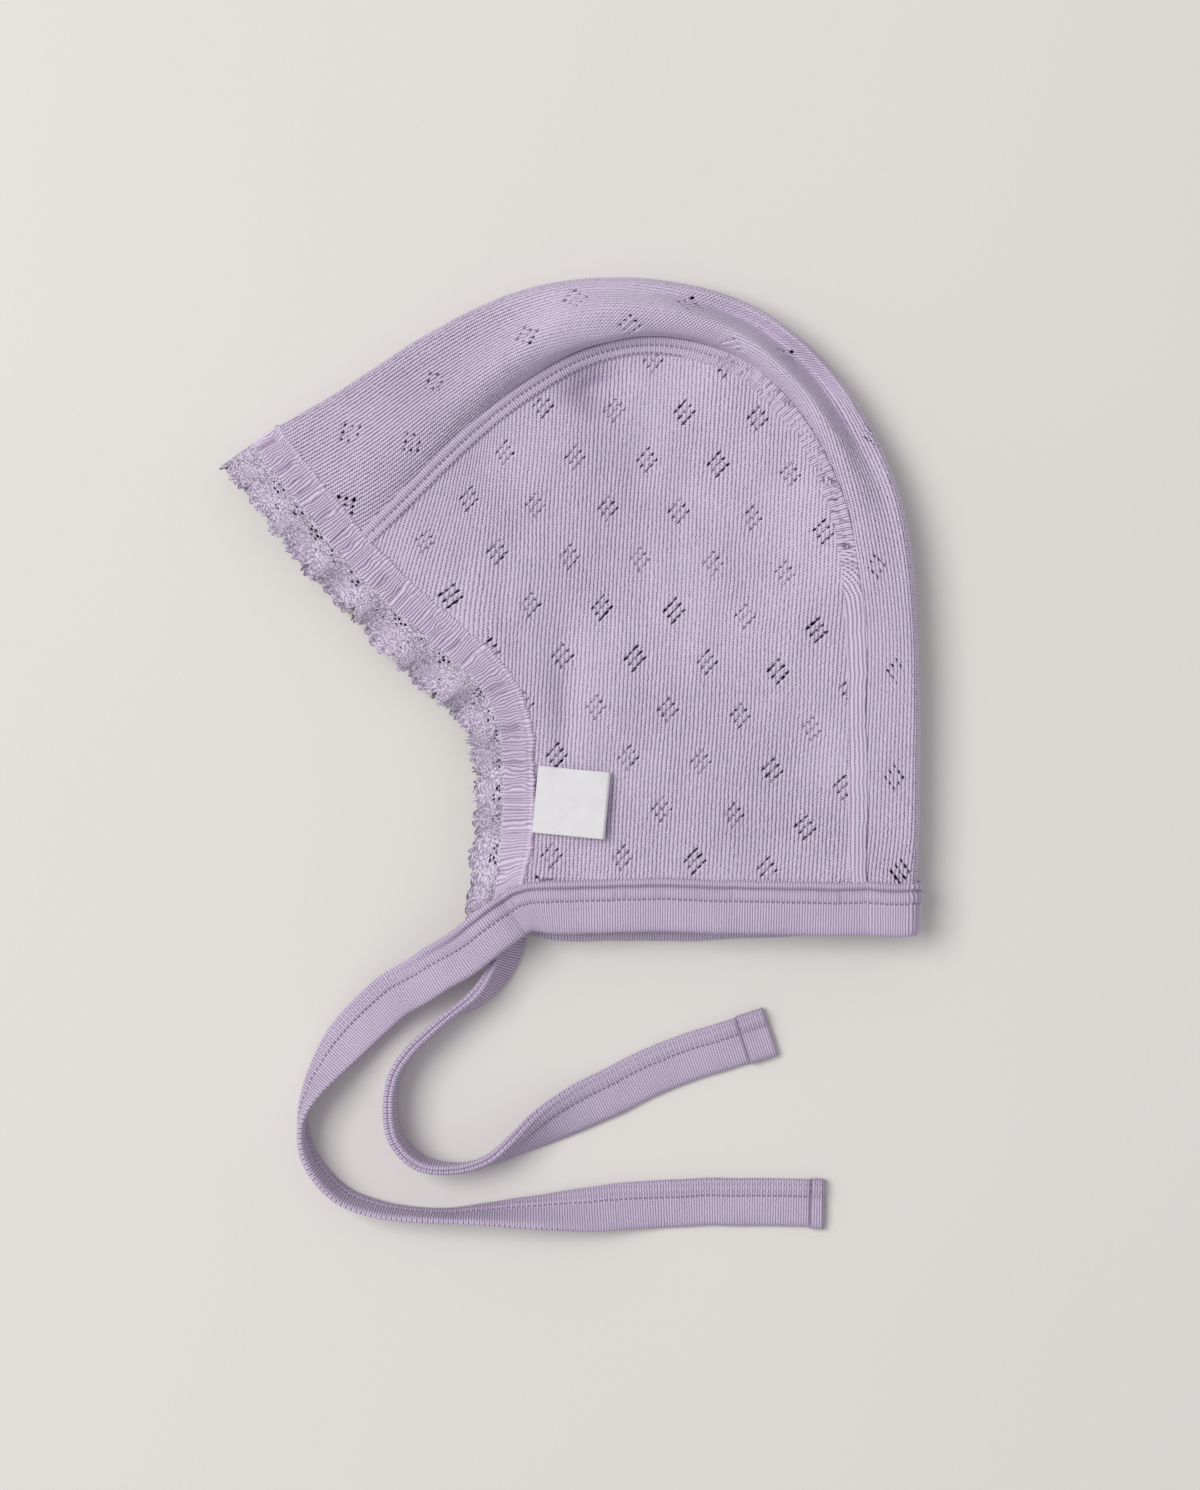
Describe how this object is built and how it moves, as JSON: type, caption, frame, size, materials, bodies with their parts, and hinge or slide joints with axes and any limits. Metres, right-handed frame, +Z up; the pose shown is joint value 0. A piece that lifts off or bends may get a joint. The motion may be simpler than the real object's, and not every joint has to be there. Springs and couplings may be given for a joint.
{
  "type": "baby bonnet",
  "caption": "Knitted baby bonnet lying on its side: side panels joined by a crown strip, gathered lace round the face, bound neck edge running on into ties.",
  "frame": {"origin": "on the table, under the middle of the side panel that the bonnet lies on", "axes": "+Z up from the table, +Y towards the crown of the head, -X towards the forehead and the face opening"},
  "size_m": [0.1678, 0.2276, 0.017],
  "materials": {
    "knit": "matte ribbed cotton knit with pointelle eyelets, lilac",
    "tape": "matte folded rib-knit cotton tape, lilac",
    "lace": "matte gathered cotton lace, lilac",
    "satin": "soft satin-woven label, white, bare"
  },
  "bodies": {
    "root": {"crown_strip": "knit", "side_panel_left": "knit", "side_panel_right": "knit", "lace_heading": "lace", "lace_ruffle": "lace", "neck_binding": "tape", "tie_left": "tape", "tie_right": "tape", "side_label": "satin"}
  },
  "joints": []
}
